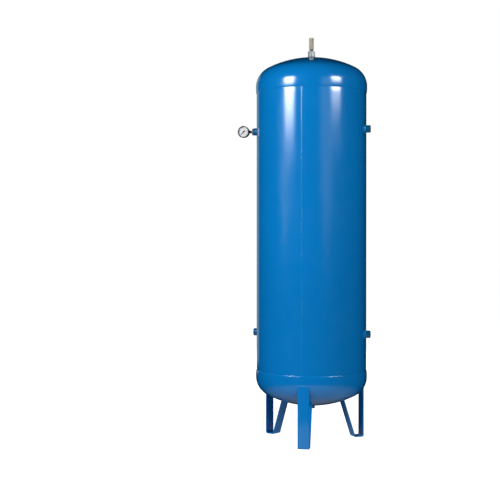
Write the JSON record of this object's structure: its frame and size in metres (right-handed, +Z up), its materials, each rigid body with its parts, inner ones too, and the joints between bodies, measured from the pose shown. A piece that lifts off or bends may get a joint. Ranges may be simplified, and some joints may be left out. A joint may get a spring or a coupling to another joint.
{
  "type": "air receiver tank",
  "caption": "Vertical compressed-air receiver on strip legs, with domed ends, threaded side ports, a dial pressure gauge and a spring-loaded safety valve with a vent knob.",
  "frame": {"origin": "on the floor, on the vessel's axis, at the centre of the circle of the three feet", "axes": "+Z up along the vessel's axis; the side ports lie along X, with the gauge at -X; the gauge's dial faces -Y"},
  "size_m": [0.6074, 0.5031, 1.8106],
  "materials": {
    "blue_paint": "glossy blue enamel over steel",
    "nickel": "bright nickel plate",
    "zinc": "zinc-plated steel",
    "pale_brass": "pale knurled brass",
    "brass": "turned brass",
    "black_paint": "semi-gloss black enamel",
    "white_dial": "matt white enamel with a printed scale",
    "pointer_black": "matt black",
    "window": "clear",
    "black_rubber": "matt",
    "copper_seal": "soft copper ring",
    "spring_steel": "drawn spring wire"
  },
  "bodies": {
    "root": {"shell": "blue_paint", "shell_weld": "blue_paint", "top_head": "blue_paint", "bottom_head": "blue_paint", "top_ring_weld": "blue_paint", "bottom_ring_weld": "blue_paint", "top_socket": "blue_paint", "gauge_socket": "blue_paint", "outlet_socket": "blue_paint", "inlet_socket": "blue_paint", "spare_socket": "blue_paint", "drain_socket": "blue_paint", "socket_welds": "blue_paint", "front_leg": "blue_paint", "right_leg": "blue_paint", "left_leg": "blue_paint", "leg_welds": "blue_paint", "gauge_bushing": "zinc", "gauge_stem": "brass", "gauge_case": "black_paint", "gauge_case_screws": "zinc", "gauge_bezel": "black_paint", "gauge_window": "window", "gauge_seal": "black_rubber", "gauge_spacer": "white_dial", "gauge_dial": "white_dial", "bourdon_tube": "brass", "tube_tip": "brass", "front_plate": "brass", "back_plate": "brass", "plate_pillars": "brass", "movement_screws": "zinc", "hairspring": "spring_steel", "valve_gasket": "copper_seal", "valve_body": "nickel", "valve_bonnet": "nickel", "valve_spring": "spring_steel", "valve_adjuster": "brass"},
    "sector": {"sector_gear": "brass"},
    "pointer": {"gauge_pointer": "pointer_black", "pinion_arbor": "brass"},
    "link": {"gauge_link": "zinc"},
    "spindle": {"valve_spindle": "spring_steel", "valve_disc": "brass", "valve_pad": "black_rubber", "valve_nut": "zinc"},
    "knob": {"valve_knob": "pale_brass"}
  },
  "joints": [
    {"name": "sector_turn", "type": "hinge", "parent": "root", "child": "sector", "pos_m": [-0.3015, 0, 1.39481], "axis": [0, -1, 0], "range_deg": [0, 30], "stiffness_Nm_per_rad": 0.002},
    {"name": "pointer_turn", "type": "hinge", "parent": "root", "child": "pointer", "pos_m": [-0.3135, 0, 1.39481], "axis": [0, 1, 0], "range_deg": [0, 270]},
    {"name": "link_swing", "type": "hinge", "parent": "sector", "child": "link", "pos_m": [-0.2985, 0, 1.40001], "axis": [0, -1, 0], "range_deg": [-30, 0]},
    {"name": "spindle_lift", "type": "slide", "parent": "root", "child": "spindle", "axis": [0, 0, 1], "range_m": [0, 0.00125], "deforming": ["valve_spring"]},
    {"name": "knob_turn", "type": "hinge", "parent": "spindle", "child": "knob", "pos_m": [0, 0, 1.75963], "axis": [0, 0, 1], "range_deg": [0, 360]}
  ],
  "couplings": [
    {"joint": "pointer_turn", "follows": "sector_turn", "ratio": 9},
    {"joint": "link_swing", "follows": "sector_turn", "ratio": -1},
    {"joint": "knob_turn", "follows": "spindle_lift", "rad_per_m": 5026.5}
  ]
}
